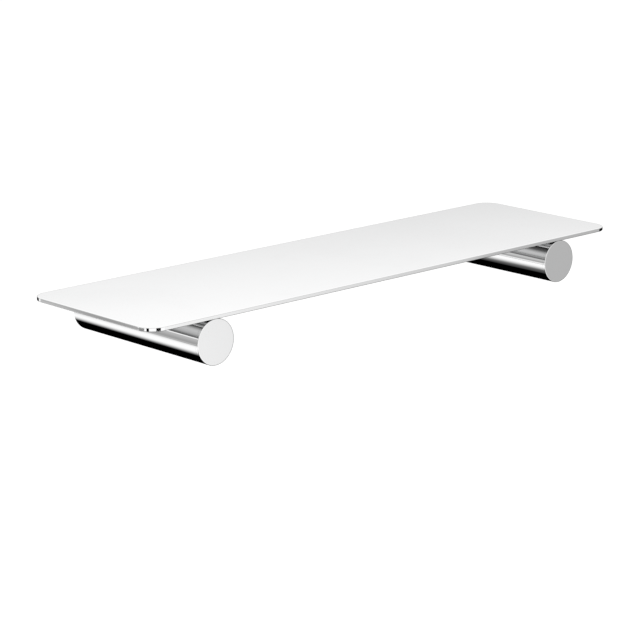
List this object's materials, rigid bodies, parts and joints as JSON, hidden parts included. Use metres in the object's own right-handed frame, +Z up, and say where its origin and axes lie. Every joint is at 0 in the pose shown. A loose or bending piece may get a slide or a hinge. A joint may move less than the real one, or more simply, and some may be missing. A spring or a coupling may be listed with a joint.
{
  "type": "wall shelf",
  "caption": "Thin polished metal shelf with rounded corners on round tube brackets that slide over wall bosses and lock with set screws.",
  "frame": {"origin": "on the wall plane, midway between the two brackets and at the height of their axes, which is the centre of the pattern of wall screws", "axes": "+X along the shelf, to the right seen from the front; +Y into the wall; +Z up"},
  "size_m": [0.5, 0.145, 0.038],
  "materials": {
    "plate_chrome": "polished",
    "tube_chrome": "polished",
    "cap_chrome": "polished",
    "clamp_zinc_steel": "satin",
    "boss_brass": "satin",
    "screw_stainless": "satin",
    "washer_spring_steel": "satin",
    "set_screw_steel": "satin",
    "plug_grey_plastic": "satin",
    "wall_boss_stainless": "satin"
  },
  "bodies": {
    "root": {"shelf_plate": "plate_chrome", "bracket_tube_left": "tube_chrome", "end_cap_left": "cap_chrome", "clamp_bar_left": "clamp_zinc_steel", "wall_boss_left": "wall_boss_stainless", "set_screw_left": "set_screw_steel", "threaded_boss_left_rear": "boss_brass", "plate_screw_left_rear": "screw_stainless", "lock_washer_left_rear": "washer_spring_steel", "access_plug_left_rear": "plug_grey_plastic", "threaded_boss_left_front": "boss_brass", "plate_screw_left_front": "screw_stainless", "lock_washer_left_front": "washer_spring_steel", "access_plug_left_front": "plug_grey_plastic", "bracket_tube_right": "tube_chrome", "end_cap_right": "cap_chrome", "clamp_bar_right": "clamp_zinc_steel", "wall_boss_right": "wall_boss_stainless", "set_screw_right": "set_screw_steel", "threaded_boss_right_rear": "boss_brass", "plate_screw_right_rear": "screw_stainless", "lock_washer_right_rear": "washer_spring_steel", "access_plug_right_rear": "plug_grey_plastic", "threaded_boss_right_front": "boss_brass", "plate_screw_right_front": "screw_stainless", "lock_washer_right_front": "washer_spring_steel", "access_plug_right_front": "plug_grey_plastic"}
  },
  "joints": []
}
